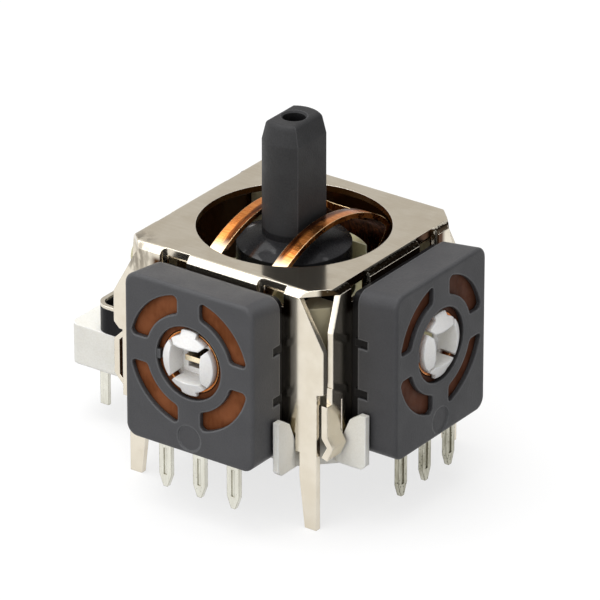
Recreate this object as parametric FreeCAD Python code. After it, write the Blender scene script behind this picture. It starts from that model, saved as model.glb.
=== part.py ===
import FreeCAD, Part
import math
import os

# A two-axis thumbstick module for a circuit board, in millimetres.
# +Z points up along the stick at rest. The origin is on the stick's axis, at the board under the base.
# Potentiometer A is on the -Y side, potentiometer B on the +X side and the push switch on the -X side.

Vector = FreeCAD.Vector
os.makedirs("parts", exist_ok=True)

# Shared by the moving pieces
pivot_height = 7.05
tilt_degrees = 20.0
press_degrees = 1.3
press_pivot_depth = 1.0
foot_travel = 0.8
running_clearance = 0.05
fitting_clearance = 0.02

# Frame: one folded sheet of nickel-plated steel with four solder legs
frame_width = 15.0
frame_sheet = 0.4
arch_proud = 0.9
bend_radius = 0.6
stick_opening_radius = 6.0
pot_corner_cut = 1.77
switch_corner_cut = 1.25
edge_notch_near = 2.6
edge_notch_length = 2.0
edge_notch_depth = 0.4
edge_notch_drop = 1.3
edge_notch_corner = 0.35
wall_bottom = 1.4
rotor_opening_clearance = 0.2
arm_slot_clearance = 0.18
arm_slot_spare_drop = 0.15

# The two walls with legs, from the plate down
vee_drop = 3.6
wall_step_drop = 6.4
wall_step_in = 0.5
wall_step_round = 0.15
ear_reach = 0.65
ear_top_drop = 3.8
ear_height = 2.45
ear_corner = 0.4
leg_width = 1.25
leg_bottom = -3.6
leg_taper_height = 3.4
leg_tip_inset = 0.4

# The two walls between them, with a strip at each corner: bent out at its end beside potentiometer B,
# and bowed out beside the switch
side_vee_drop = 2.75
side_gap = 0.4
side_waist = 0.6
side_tab_out = 0.08
side_tab_height = 1.03
strip_width = 1.45
strip_slit = 0.1
crimp_drop = 7.38
crimp_knee_height = 2.7
crimp_out_height = 2.0
crimp_bottom = 1.1
crimp_out = 0.4
crimp_slope = 0.15
bow_drop = 6.3
bow_bottom = 1.55
bow_out = 0.95

# Stick: a double-D shaft with a domed collar, a trunnion and a spring barrel
shaft_radius = 2.0
shaft_flat = 1.35
stick_rise = 12.3
tip_taper_height = 1.3
tip_taper = 0.28
tip_round = 0.35
tip_hole_radius = 0.72
tip_hole_depth = 3.0
tip_hole_chamfer = 0.12
collar_radius = 3.55
collar_rim_rise = 4.0
collar_thickness = 1.4
collar_dome_radius = 7.2
neck_half_x = 1.7
neck_half_y = 2.85
neck_corner = 0.6
neck_drop = 1.4
shoulder_radius = 1.5
shoulder_gap = 0.35
trunnion_radius = 1.0
trunnion_inset = 0.35
barrel_wall = 0.6
barrel_foot_gap = 0.6
barrel_bore_radius = 1.8
barrel_bore_rise = 1.5

# Centring foot and return spring in the barrel
foot_gap = 0.35
foot_disc_radius = 2.9
foot_disc_thickness = 1.0
foot_guide_clearance = 0.08
foot_guide_length = 2.1
foot_stem_radius = 0.85
foot_stem_length = 3.8
spring_wire = 0.26
spring_clearance = 0.08
spring_seat_gap = 0.01
spring_turns = 7
spring_wire_sides = 8

# Arch: a slotted strip of copper alloy over the stick, turning about Y
arch_sheet = 0.35
arch_half_width = 2.8
arch_slot_clearance = 0.47
arch_slot_half_length = 5.75
arch_slot_corner = 0.8
arch_collar_gap = 0.66
arch_radius = 9.6
arch_bend_start = 5.2
arch_leg_clearance = 0.45
arch_leg_taper_rise = 3.4
arch_leg_foot_rise = 0.6
arch_leg_foot_half_width = 1.3
arch_drive_overlap = 0.4
arch_far_tongue = 1.1

# Cross rocker: a moulded cradle round the stick, turning about X
ring_wall = 0.9
ring_clearance = 0.2
ring_rise = 3.0
ring_drop = 2.4
ring_tilt_clearance = 0.33
cheek_clearance = 0.15
arm_radius = 1.3
arm_root = 0.25
arm_shoulder_gap = 0.3
arm_chamfer = 0.25
gusset_half_width = 0.8
gusset_rise = 1.2
gusset_tip_rise = 0.6
gusset_setback = 0.5
gusset_root = 0.6
drive_half = 0.7
drive_setback = 0.1

# Potentiometer: heights are measured from the pivot and depths outwards from the frame's wall
pot_drop = 6.1
pot_top_rim = 0.5
pot_side_rim = 0.35
pot_top_slope = 0.35
pot_back_depth = 0.6
pot_depth = 2.8
pot_front_wall = 0.35
pot_side_wall = 0.4
pot_end_wall = 0.5
pot_corner_round = 0.8
pot_edge_round = 0.22
pot_hole_clearance = 0.55
pot_key_width = 0.6
pot_key_reach = 0.25
pot_key_setback = 0.08
window_width = 1.25
window_outer_radius = 4.4
window_bridge = 1.62
window_corner = 0.32
dimple_radius = 0.85
dimple_depth = 0.08
dimple_rise = 1.05
back_inset = 0.3
clip_rises = (3.95, 7.3)
clip_height = 0.6
clip_depth = 0.7
clip_thickness = 0.3
plate_thickness = 0.6
plate_hole_clearance = 0.06

# Terminals of a potentiometer, riveted to its track plate
terminal_pitch = 2.54
terminal_count = 3
terminal_width = 0.9
terminal_thickness = 0.3
pin_tip = -2.4
terminal_taper = 0.8
terminal_tip_width = 0.3
terminal_head_radius = 0.8
terminal_head_rise = 1.65
terminal_rivet_radius = 0.4
terminal_groove_width = 0.22
terminal_groove_depth = 0.07
terminal_groove_top = 0.2

# Rotor and wiper of a potentiometer
rotor_boss_radius = 2.4
rotor_boss_setback = 0.1
rotor_flange_inset = 0.8
rotor_flange_thickness = 0.4
rotor_hub_wall = 0.27
rotor_hub_proud = 0.4
rotor_tip_wall = 0.08
rotor_tip_height = 0.5
rotor_hook_out = 0.3
rotor_hook_half_width = 0.55
rotor_socket_half = 1.12
rotor_socket_depth = 1.45
rotor_slit_width = 0.28
rotor_slit_depth = 1.25
wiper_sheet = 0.12
wiper_gap = 0.12
wiper_inset = 0.5
wiper_collar_thickness = 0.13
wiper_arm_inset = 0.35
wiper_arm_width = 0.5

# Base: a moulded tray with corner posts and guide fins beside the potentiometers
base_clearance = 0.2
base_floor = 0.7
foot_ring_radius = 5.3
foot_ring_width = 0.35
foot_ring_height = 0.3
post_width = 1.8
post_gap = 0.95
post_chamfer = 1.0
base_corner_cut = 1.8
fin_bottom = 0.2
fin_thickness = 0.4
fin_side_gap = 0.2
fin_reach = 9.1
fin_top = 3.8
fin_top_length = 0.5
fin_shoulder_length = 0.66
fin_shoulder_drop = 0.45
fin_inner_height = 0.9
fin_corner = 0.3
fin_slot_clearance = 0.1

# Push switch under the rocker's long arm
plunger_distance = 3.1
switch_half_width = 3.5
housing_reach = 4.05
pocket_floor = 1.0
pocket_clearance = 0.4
switch_round = 0.6
cover_reach = 2.15
cover_inner_reach = 2.2
cover_arm_gap = 1.15
cover_wall = 0.28
cover_round = 1.0
cover_floor = 0.6
strap_thickness = 0.2
plunger_half_x = 1.1
plunger_half_y = 1.3
plunger_clearance = 0.12
plunger_round = 0.25
plunger_flange_width = 0.5
plunger_flange_thickness = 0.6
plunger_dome_gap = 0.25
dome_inset = 0.3
dome_rise = 0.75
dome_sheet = 0.1
blade_width = 0.62
blade_thickness = 0.25
blade_offset = 1.62
blade_edge = 0.4
blade_top = 1.6

# Worked out: the stick's collar, and the arch and the plate over it
frame_half = frame_width / 2
frame_inner = frame_half - frame_sheet
collar_rim = pivot_height + collar_rim_rise
collar_bottom = collar_rim - collar_thickness
collar_dome_centre = collar_rim - math.sqrt(collar_dome_radius ** 2 - collar_radius ** 2)
arch_top = collar_dome_centre + collar_dome_radius + arch_collar_gap + arch_sheet
plate_top = arch_top - arch_proud
plate_underside = plate_top - frame_sheet

# Worked out: the rocker's ring and the foot under the stick
ring_bore = collar_radius + ring_clearance
ring_radius = ring_bore + ring_wall
tilt = math.radians(tilt_degrees)
tilted_collar = (collar_bottom - pivot_height) * math.cos(tilt) - collar_radius * math.sin(tilt)
ring_end_top = pivot_height + tilted_collar - ring_tilt_clearance
foot_bottom = base_floor + foot_gap
foot_disc_top = foot_bottom + foot_disc_thickness
foot_guide_top = foot_disc_top + foot_guide_length

# Worked out: the potentiometer's stack, from its front face back to the frame's wall
back_face = frame_half + pot_back_depth
pot_front = back_face + pot_depth
cavity_front = pot_front - pot_front_wall
track_front = cavity_front - fitting_clearance
track_back = track_front - plate_thickness
terminal_front = track_back - fitting_clearance
terminal_back = terminal_front - terminal_thickness
wiper_back = track_back - wiper_gap - wiper_sheet
flange_front = wiper_back - fitting_clearance
flange_back = flange_front - rotor_flange_thickness
hub_front = pot_front + rotor_hub_proud
hub_tip_start = hub_front - rotor_tip_height
hook_back = track_front + running_clearance
collar_front = hook_back - fitting_clearance
socket_back = hub_front - rotor_socket_depth
boss_back = frame_inner + rotor_boss_setback
tongue_end = socket_back - drive_setback
press_pivot = boss_back + press_pivot_depth

# Worked out: the potentiometer's outline and the radii inside it
pot_bottom = pivot_height - pot_drop
pot_top = pivot_height + window_outer_radius + pot_top_rim
pot_half_width = window_outer_radius + pot_side_rim
flange_radius = window_outer_radius - rotor_flange_inset
wiper_radius = flange_radius - wiper_inset
hub_radius = math.hypot(rotor_socket_half, rotor_socket_half) + rotor_hub_wall
hook_radius = hub_radius + rotor_hook_out
pot_hole_radius = hub_radius + pot_hole_clearance
wiper_bore = hub_radius + fitting_clearance
wiper_collar_radius = wiper_bore + wiper_collar_thickness

# Worked out: the push switch
plunger_x = -frame_half - plunger_distance
cover_x = (plunger_x - cover_reach, plunger_x + cover_inner_reach)
plunger_bottom = pocket_floor + running_clearance + dome_rise + plunger_dome_gap
housing_height = plunger_bottom + plunger_flange_thickness + running_clearance
arm_underside = pivot_height - arm_radius
cover_top = arm_underside - cover_arm_gap - strap_thickness
beyond = 1.0


def block(x_range, y_range, z_range):
    corner = Vector(x_range[0], y_range[0], z_range[0])
    return Part.makeBox(x_range[1] - x_range[0], y_range[1] - y_range[0], z_range[1] - z_range[0], corner)


def rod(radius, start, end):
    path = Vector(*end) - Vector(*start)
    return Part.makeCylinder(radius, path.Length, Vector(*start), path)


def rod_y(radius, start, end, height=pivot_height, x=0.0):
    return rod(radius, (x, start, height), (x, end, height))


def prism(points, axis, low, high):
    # The points lie in the plane across the axis: (y, z) for x, (x, z) for y and (x, y) for z.
    if axis == "x":
        corners = [Vector(low, p[0], p[1]) for p in points]
        push = Vector(high - low, 0, 0)
    elif axis == "y":
        corners = [Vector(p[0], low, p[1]) for p in points]
        push = Vector(0, high - low, 0)
    else:
        corners = [Vector(p[0], p[1], low) for p in points]
        push = Vector(0, 0, high - low)
    return Part.Face(Part.makePolygon(corners + corners[:1])).extrude(push)


def mirrored(shape, normal):
    return shape.mirror(Vector(0, 0, 0), normal)


def turned(shape, angle):
    copy = shape.copy()
    copy.rotate(Vector(0, 0, 0), Vector(0, 0, 1), angle)
    return copy


def span(first, second):
    return (min(first, second), max(first, second))


def straight_edges(shape, direction):
    found = []
    for edge in shape.Edges:
        if isinstance(edge.Curve, Part.Line):
            if abs(edge.tangentAt(edge.FirstParameter).dot(direction)) > 1 - 1e-6:
                found.append(edge)
    return found


def top_edges(shape, height):
    return [edge for edge in shape.Edges if min(v.Z for v in edge.Vertexes) > height - 1e-6]


def save(shape, name):
    shape.removeSplitter().exportStep("parts/" + name + ".step")


def leg_wall():
    # A wall that carries two legs, drawn in x and z. Its -x side has an ear.
    left_start = frame_half - switch_corner_cut
    right_start = frame_half - pot_corner_cut
    vee_low = plate_top - vee_drop
    step_x = frame_half - wall_step_in
    step_height = plate_top - wall_step_drop
    leg_inner = step_x - leg_width
    tip_x = leg_inner + leg_tip_inset
    taper_height = leg_bottom + leg_taper_height
    ear_x = -frame_half - ear_reach
    ear_top = plate_top - ear_top_drop
    ear_low = ear_top - ear_height
    outline = [(-left_start, plate_underside), (right_start, plate_underside), (frame_half, vee_low),
               (frame_half, step_height), (step_x, step_height - wall_step_round), (step_x, leg_bottom),
               (tip_x, leg_bottom), (leg_inner, taper_height), (leg_inner, wall_bottom),
               (-leg_inner, wall_bottom), (-leg_inner, taper_height), (-tip_x, leg_bottom),
               (-step_x, leg_bottom), (-step_x, wall_bottom), (-frame_half, wall_bottom),
               (-frame_half, ear_low), (ear_x + ear_corner, ear_low), (ear_x, ear_low + ear_corner),
               (ear_x, ear_top)]
    return prism(outline, "y", -frame_half, -frame_inner)


def crimped_strip(top):
    # Bent out and back at its lower end, drawn in x and z
    return [(frame_inner, top), (frame_half, top), (frame_half, crimp_knee_height),
            (frame_half + crimp_out, crimp_out_height), (frame_half, crimp_bottom),
            (frame_inner, crimp_bottom + crimp_slope), (frame_inner + crimp_out, crimp_out_height),
            (frame_inner, crimp_knee_height - crimp_slope)]


def bowed_strip(top):
    # Bowed outwards between its ends, drawn in x and z
    line = [(0, top), (bow_out, top - bow_out), (bow_out, bow_bottom + bow_out), (0, bow_bottom)]
    outer = [(frame_half + x, z) for x, z in line]
    return outer + [(frame_inner + x, z) for x, z in reversed(line)]


def side_wall(corner_cut, strip_top, strip):
    # A wall between the leg walls, drawn in y and z, with the strip at each of its corners
    vee_start = frame_half - corner_cut
    vee_low = plate_top - side_vee_drop
    corner = frame_half - side_gap
    waist = corner - side_waist
    shelf = waist + side_tab_out
    tab_top = strip_top + side_tab_height
    near = corner - strip_width
    slit = near - strip_slit
    half = [(vee_start, plate_underside), (waist, vee_low), (waist, tab_top), (shelf, tab_top),
            (shelf, strip_top), (slit, strip_top), (slit, wall_bottom)]
    outline = half + [(-y, z) for y, z in reversed(half)]
    wall = prism(outline, "x", frame_inner, frame_half)
    strips = prism(strip, "y", near, corner)
    return wall.fuse([strips, mirrored(strips, Vector(0, 1, 0))])


def folded_top():
    # The plate and its four bends: a rounded shell, cut off below the bends.
    skirt = plate_underside - bend_radius
    outside = (-frame_half, frame_half)
    inside = (-frame_inner, frame_inner)
    outer = block(outside, outside, (skirt, plate_top))
    outer = outer.makeFillet(bend_radius, top_edges(outer, plate_top))
    inner = block(inside, inside, (skirt - beyond, plate_underside))
    inner = inner.makeFillet(bend_radius - frame_sheet, top_edges(inner, plate_underside))
    shell = outer.cut(inner)
    far = frame_half + beyond
    wall_zone = (frame_inner - beyond, far)
    below_plate = (skirt - beyond, plate_underside)
    corner_cuts = (pot_corner_cut, switch_corner_cut, switch_corner_cut, pot_corner_cut)
    for quarter, corner_cut in enumerate(corner_cuts):
        start = frame_half - corner_cut
        corner_zone = (start, far)
        corner = [(start, frame_half), (frame_half, start), (far, start), (far, far), (start, far)]
        cutters = [prism(corner, "z", skirt - beyond, plate_top + beyond),
                   block(corner_zone, wall_zone, below_plate), block(wall_zone, corner_zone, below_plate)]
        for cutter in cutters:
            shell = shell.cut(turned(cutter, 90 * quarter))
    return shell


def edge_notches():
    # Two notches through each bend, each with one rounded corner
    inner_edge = frame_half - edge_notch_depth
    far = frame_half + beyond
    notch_z = (plate_top - edge_notch_drop, plate_top + beyond)
    cutters = []
    for quarter in range(4):
        for start in (edge_notch_near, -edge_notch_near - edge_notch_length):
            notch = block((start, start + edge_notch_length), (-far, -inner_edge), notch_z)
            round_x = start + edge_notch_length * (quarter % 2)
            rounded = Vector(round_x, -inner_edge, notch_z[0])
            corner = [edge for edge in straight_edges(notch, Vector(0, 0, 1))
                      if min((v.Point - rounded).Length for v in edge.Vertexes) < 1e-6]
            cutters.append(turned(notch.makeFillet(edge_notch_corner, corner), 90 * quarter))
    return cutters


def guide_fins(clearance):
    # Two fins beside potentiometer A. With a clearance they are the slots that they pass through.
    inner = frame_inner - base_clearance
    knee = fin_reach - fin_top_length - fin_shoulder_length
    low = fin_bottom - clearance
    outline = [(inner - fin_corner, low), (fin_reach - fin_corner, low),
               (fin_reach + clearance, fin_bottom + fin_corner), (fin_reach + clearance, fin_top + clearance),
               (fin_reach - fin_top_length, fin_top + clearance),
               (knee - clearance, fin_top - fin_shoulder_drop + clearance),
               (inner - clearance, fin_inner_height + clearance)]
    fins = []
    for side in (-1, 1):
        near = side * (pot_half_width + fin_side_gap - clearance)
        away = side * (pot_half_width + fin_side_gap + fin_thickness + clearance)
        fins.append(prism([(-reach, z) for reach, z in outline], "x", *span(near, away)))
    return fins


def frame_openings():
    # The stick's opening, the holes of both rotors and of the arch, the arm's slot and the fins' slots
    near = frame_inner - beyond
    far = frame_half + beyond
    opening = rod(stick_opening_radius, (0, 0, plate_underside - beyond), (0, 0, plate_top + beyond))
    rotor_hole = rod_y(rotor_boss_radius + rotor_opening_clearance, -far, -near)
    arch_hole = rod_y(math.hypot(drive_half, arch_sheet / 2) + running_clearance, near, far)
    openings = [opening, rotor_hole, turned(rotor_hole, 90), arch_hole]
    slot = arm_radius + arm_slot_clearance
    slot_low = pivot_height - math.radians(press_degrees) * (press_pivot + frame_half) - arm_slot_spare_drop
    openings.append(block((-far, -near), (-slot, slot), (slot_low, pivot_height)))
    for height in (slot_low, pivot_height):
        openings.append(rod(slot, (-far, 0, height), (-near, 0, height)))
    for fin in guide_fins(fin_slot_clearance):
        openings += [fin, turned(fin, 90)]
    return openings


def build_frame():
    leg_side = leg_wall()
    crimp_top = plate_top - crimp_drop
    bow_top = plate_top - bow_drop
    pot_side = side_wall(pot_corner_cut, crimp_top, crimped_strip(crimp_top))
    switch_side = side_wall(switch_corner_cut, bow_top, bowed_strip(bow_top))
    frame = folded_top().fuse([leg_side, mirrored(leg_side, Vector(0, 1, 0)), pot_side,
                               mirrored(switch_side, Vector(1, 0, 0))])
    for cutter in frame_openings() + edge_notches():
        frame = frame.cut(cutter)
    return frame


def build_base():
    half = frame_inner - base_clearance
    base = block((-half, half), (-half, half), (0, base_floor))
    ring_top = base_floor + foot_ring_height
    ring = rod(foot_ring_radius + foot_ring_width, (0, 0, 0), (0, 0, ring_top))
    base = base.fuse(ring.cut(rod(foot_ring_radius, (0, 0, 0), (0, 0, ring_top))))
    inner = half - post_width
    chamfer = half - post_chamfer
    post = prism([(inner, inner), (half, inner), (half, chamfer), (chamfer, half), (inner, half)], "z", 0,
                 plate_underside - post_gap)
    additions = [turned(post, 90 * quarter) for quarter in range(4)]
    for fin in guide_fins(0.0):
        additions += [fin, turned(fin, 90)]
    base = base.fuse(additions)
    start = half - base_corner_cut
    corner = prism([(start, half), (half, start), (half, half)], "z", -beyond, base_floor)
    for quarter in range(4):
        base = base.cut(turned(corner, 90 * quarter))
    return base


def arch_line(inset):
    # One face of the strip, seen along x: a shallow arc, a bend at each end and two straight legs.
    centre = arch_top - arch_radius
    outer_y = frame_inner - arch_leg_clearance
    turn = math.asin(arch_bend_start / arch_radius)
    bend = (outer_y - arch_bend_start) / (1 - math.sin(turn)) - inset
    leg_y = outer_y - inset
    joint = ((arch_radius - inset) * math.sin(turn), centre + (arch_radius - inset) * math.cos(turn))
    hub = (leg_y - bend, joint[1] - bend * math.cos(turn))
    half_turn = (turn + math.pi / 2) / 2
    middle = (hub[0] + bend * math.sin(half_turn), hub[1] + bend * math.cos(half_turn))
    foot = (leg_y, pivot_height - arch_sheet / 2)
    right = [Vector(0, y, z) for y, z in (joint, middle, (leg_y, hub[1]), foot)]
    left = [Vector(0, -point.y, point.z) for point in right]
    crown = Vector(0, 0, arch_top - inset)
    edges = [Part.LineSegment(left[3], left[2]), Part.Arc(left[2], left[1], left[0]),
             Part.Arc(left[0], crown, right[0]), Part.Arc(right[0], right[1], right[2]),
             Part.LineSegment(right[2], right[3])]
    return [edge.toShape() for edge in edges], left[3], right[3]


def build_arch():
    outer, outer_left, outer_right = arch_line(0.0)
    inner, inner_left, inner_right = arch_line(arch_sheet)
    ends = [Part.LineSegment(outer_left, inner_left), Part.LineSegment(outer_right, inner_right)]
    outline = Part.Wire(Part.__sortEdges__(outer + inner + [end.toShape() for end in ends]))
    arch = Part.Face(outline).extrude(Vector(2 * arch_half_width, 0, 0))
    arch.translate(Vector(-arch_half_width, 0, 0))
    slot_half = shaft_flat + arch_slot_clearance
    slot = block((-slot_half, slot_half), (-arch_slot_half_length, arch_slot_half_length),
                 (pivot_height, arch_top + beyond))
    arch = arch.cut(slot.makeFillet(arch_slot_corner, straight_edges(slot, Vector(0, 0, 1))))
    shoulder = pivot_height + arch_leg_taper_rise
    foot = pivot_height + arch_leg_foot_rise
    for side in (-1, 1):
        edge = side * arch_half_width
        away = side * (arch_half_width + beyond)
        low = side * arch_leg_foot_half_width
        trim = [(edge, shoulder), (away, shoulder), (away, 0), (low, 0), (low, foot)]
        arch = arch.cut(prism(trim, "y", -frame_half, frame_half))
    half_sheet = arch_sheet / 2
    leg_inner = frame_inner - arch_leg_clearance - arch_sheet
    width = (-drive_half, drive_half)
    thickness = (pivot_height - half_sheet, pivot_height + half_sheet)
    tongue = block(width, (-socket_back - arch_drive_overlap, -leg_inner), thickness)
    far_tongue = block(width, (leg_inner, leg_inner + arch_sheet + arch_far_tongue), thickness)
    return arch.fuse([tongue, far_tongue])


def double_d_outline(radius, flat, height):
    edge_y = math.sqrt(radius ** 2 - flat ** 2)
    corners = [Vector(flat, -edge_y, height), Vector(flat, edge_y, height),
               Vector(-flat, edge_y, height), Vector(-flat, -edge_y, height)]
    back = Vector(0, radius, height)
    front = Vector(0, -radius, height)
    edges = [Part.LineSegment(corners[0], corners[1]), Part.Arc(corners[1], back, corners[2]),
             Part.LineSegment(corners[2], corners[3]), Part.Arc(corners[3], front, corners[0])]
    return Part.Wire([edge.toShape() for edge in edges])


def build_shaft(low, top):
    taper_start = top - tip_taper_height
    outline = double_d_outline(shaft_radius, shaft_flat, low)
    shaft = Part.Face(outline).extrude(Vector(0, 0, taper_start - low))
    wide = double_d_outline(shaft_radius, shaft_flat, taper_start)
    narrow = double_d_outline(shaft_radius - tip_taper, shaft_flat - tip_taper, top)
    tip = Part.makeLoft([wide, narrow], True, True)
    tip = tip.makeFillet(tip_round, top_edges(tip, top))
    shaft = shaft.fuse(tip)
    shaft = shaft.cut(rod(tip_hole_radius, (0, 0, top - tip_hole_depth), (0, 0, top + beyond)))
    mouth = Part.makeCone(tip_hole_radius, tip_hole_radius + 2 * tip_hole_chamfer, 2 * tip_hole_chamfer,
                          Vector(0, 0, top - tip_hole_chamfer))
    return shaft.cut(mouth)


def build_stick():
    collar = rod(collar_radius, (0, 0, collar_bottom), (0, 0, collar_dome_centre + collar_dome_radius))
    collar = collar.common(Part.makeSphere(collar_dome_radius, Vector(0, 0, collar_dome_centre)))
    neck = block((-neck_half_x, neck_half_x), (-neck_half_y, neck_half_y),
                 (pivot_height - neck_drop, collar_rim))
    neck = neck.makeFillet(neck_corner, straight_edges(neck, Vector(0, 0, 1)))
    barrel_bottom = foot_disc_top + foot_travel + barrel_foot_gap
    barrel = rod(barrel_bore_radius + barrel_wall, (0, 0, barrel_bottom), (0, 0, pivot_height))
    shoulder = ring_bore - shoulder_gap
    trunnion = ring_radius - trunnion_inset
    shaft = build_shaft(collar_bottom, pivot_height + stick_rise)
    stick = shaft.fuse([collar, neck, barrel, rod_y(shoulder_radius, -shoulder, shoulder),
                        rod_y(trunnion_radius, -trunnion, trunnion)])
    return stick.cut(rod(barrel_bore_radius, (0, 0, 0), (0, 0, pivot_height + barrel_bore_rise)))


def build_foot():
    # Its dome is round the pivot, so it stays level with the base as the stick tilts.
    disc = rod(foot_disc_radius, (0, 0, 0), (0, 0, foot_disc_top))
    disc = disc.common(Part.makeSphere(pivot_height - foot_bottom, Vector(0, 0, pivot_height)))
    inside = foot_disc_top - foot_disc_thickness / 2
    guide = rod(barrel_bore_radius - foot_guide_clearance, (0, 0, inside), (0, 0, foot_guide_top))
    stem = rod(foot_stem_radius, (0, 0, inside), (0, 0, foot_disc_top + foot_stem_length))
    return disc.fuse([guide, stem])


def build_spring():
    low = foot_guide_top + spring_wire / 2 + spring_seat_gap
    high = pivot_height + barrel_bore_rise - spring_wire / 2 - spring_seat_gap
    coil_radius = barrel_bore_radius - spring_clearance - spring_wire / 2
    helix = Part.makeHelix((high - low) / spring_turns, high - low, coil_radius)
    corners = []
    for number in range(spring_wire_sides + 1):
        angle = 2 * math.pi * number / spring_wire_sides
        corner = Vector(math.cos(angle), 0, math.sin(angle)) * (spring_wire / 2)
        corners.append(corner + Vector(coil_radius, 0, 0))
    section = Part.makePolygon(corners)
    coil = Part.Wire(helix.Edges).makePipeShell([section], True, True)
    coil.translate(Vector(0, 0, low))
    return coil


def build_rocker():
    cheek = collar_radius + cheek_clearance
    low = pivot_height - ring_drop
    high = pivot_height + ring_rise
    ring = rod(ring_radius, (0, 0, low), (0, 0, high))
    ring = ring.cut(rod(ring_bore, (0, 0, low - beyond), (0, 0, ring_end_top)))
    ring = ring.cut(block((-ring_radius, ring_radius), (-cheek, cheek), (ring_end_top, high + beyond)))
    shoulder = boss_back - arm_shoulder_gap
    root = ring_radius - arm_root
    press_end = plunger_x - plunger_half_x
    arm = rod(arm_radius, (root, 0, pivot_height), (shoulder, 0, pivot_height))
    long_arm = rod(arm_radius, (press_end, 0, pivot_height), (-root, 0, pivot_height))
    end_edge = [edge for edge in long_arm.Edges if max(v.X for v in edge.Vertexes) < press_end + 1e-6]
    long_arm = long_arm.makeChamfer(arm_chamfer, end_edge)
    tongue = block((shoulder - arm_root, tongue_end), (-drive_half, drive_half),
                   (pivot_height - drive_half, pivot_height + drive_half))
    gusset_end = shoulder - gusset_setback
    outline = [(root, ring_end_top), (ring_radius, pivot_height + gusset_rise),
               (gusset_end, pivot_height + gusset_tip_rise), (gusset_end, pivot_height - gusset_tip_rise),
               (root, low + gusset_root)]
    gusset = prism([(x, z) for x, z in outline], "y", -gusset_half_width, gusset_half_width)
    rocker = ring.fuse([arm, long_arm, tongue, gusset, mirrored(gusset, Vector(1, 0, 0))])
    outside = ring_radius + beyond
    return rocker.cut(rod_y(trunnion_radius + running_clearance, -outside, outside))


def cover_windows():
    depth = (-pot_front - beyond, -cavity_front + beyond)
    inner_radius = window_outer_radius - window_width
    ring = rod_y(window_outer_radius, depth[0], depth[1]).cut(rod_y(inner_radius, depth[0], depth[1]))
    half = window_bridge / 2
    reach = window_outer_radius + beyond
    ring = ring.cut(block((-half, half), depth, (pivot_height - reach, pivot_height + reach)))
    ring = ring.cut(block((-reach, reach), depth, (pivot_height - half, pivot_height + half)))
    depthwise = Vector(0, 1, 0)
    return [piece.makeFillet(window_corner, straight_edges(piece, depthwise)) for piece in ring.Solids]


def terminal_places():
    middle = (terminal_count - 1) / 2
    return [(number - middle) * terminal_pitch for number in range(terminal_count)]


def clip_blocks(inner_x, outer_x, start, end, clearance):
    # One block beside each side of the housing at each clip's height
    blocks = []
    for rise in clip_rises:
        middle = pot_bottom + rise
        height = (middle - clip_height / 2 + clearance, middle + clip_height / 2 - clearance)
        for side in (-1, 1):
            blocks.append(block(span(side * inner_x, side * outer_x), (-end, -start), height))
    return blocks


def build_pot_cover():
    outline = [(-back_face, pot_bottom), (-pot_front, pot_bottom), (-pot_front, pot_top),
               (-back_face, pot_top - pot_top_slope)]
    cover = prism(outline, "x", -pot_half_width, pot_half_width)
    half_depth = (pot_front - back_face) / 2
    long_edges = [edge for edge in cover.Edges if abs(edge.Vertexes[0].Y - edge.Vertexes[1].Y) > half_depth]
    cover = cover.makeFillet(pot_corner_round, long_edges)
    front = [edge for edge in cover.Edges if max(v.Y for v in edge.Vertexes) < -pot_front + 1e-6]
    cover = cover.makeFillet(pot_edge_round, front)
    inner_half = pot_half_width - pot_side_wall
    cavity = (pot_bottom + pot_end_wall, pot_top - pot_top_slope - pot_end_wall)
    outside = -pot_front - beyond
    cutters = [block((-inner_half, inner_half), (-cavity_front, -back_face + beyond), cavity),
               rod_y(pot_hole_radius, outside, -back_face),
               rod_y(dimple_radius, outside, -pot_front + dimple_depth, pot_bottom + dimple_rise)]
    slot_y = (-terminal_front - running_clearance, -terminal_back + running_clearance)
    slot_z = (pot_bottom - beyond, cavity[0])
    half_slot = terminal_width / 2 + running_clearance
    for place in terminal_places():
        cutters.append(block((place - half_slot, place + half_slot), slot_y, slot_z))
    cutters += clip_blocks(inner_half - beyond, pot_half_width + beyond, back_face - beyond,
                           back_face + clip_depth, 0.0)
    for cutter in cutters + cover_windows():
        cover = cover.cut(cutter)
    key = block((-pot_hole_radius - pot_key_reach, -pot_hole_radius + pot_key_reach),
                (-pot_front + pot_key_setback, -cavity_front),
                (pivot_height - pot_key_width / 2, pivot_height + pot_key_width / 2))
    return cover.fuse(key)


def build_pot_back():
    half = pot_half_width - back_inset
    height = (pot_bottom + back_inset, pot_top - pot_top_slope - back_inset)
    back = block((-half, half), (-back_face, -frame_half), height)
    back = back.makeFillet(pot_corner_round - back_inset, straight_edges(back, Vector(0, 1, 0)))
    inner = pot_half_width - pot_side_wall
    back = back.fuse(clip_blocks(inner, inner + clip_thickness, back_face - pot_back_depth / 2,
                                 back_face + clip_depth - running_clearance, running_clearance))
    return back.cut(rod_y(rotor_boss_radius + running_clearance, -back_face - beyond, -frame_half + beyond))


def build_track_plate():
    half = pot_half_width - pot_side_wall - running_clearance
    low = pot_bottom + pot_end_wall + running_clearance
    high = pot_top - pot_top_slope - pot_end_wall - running_clearance
    plate = block((-half, half), (-track_front, -track_back), (low, high))
    hole = wiper_collar_radius + plate_hole_clearance
    through = (-track_front - beyond, -track_back + beyond)
    plate = plate.cut(rod_y(hole, *through))
    rivet_hole = terminal_rivet_radius + fitting_clearance
    head_height = pot_bottom + terminal_head_rise
    for place in terminal_places():
        plate = plate.cut(rod_y(rivet_hole, *through, head_height, place))
    return plate


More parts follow.
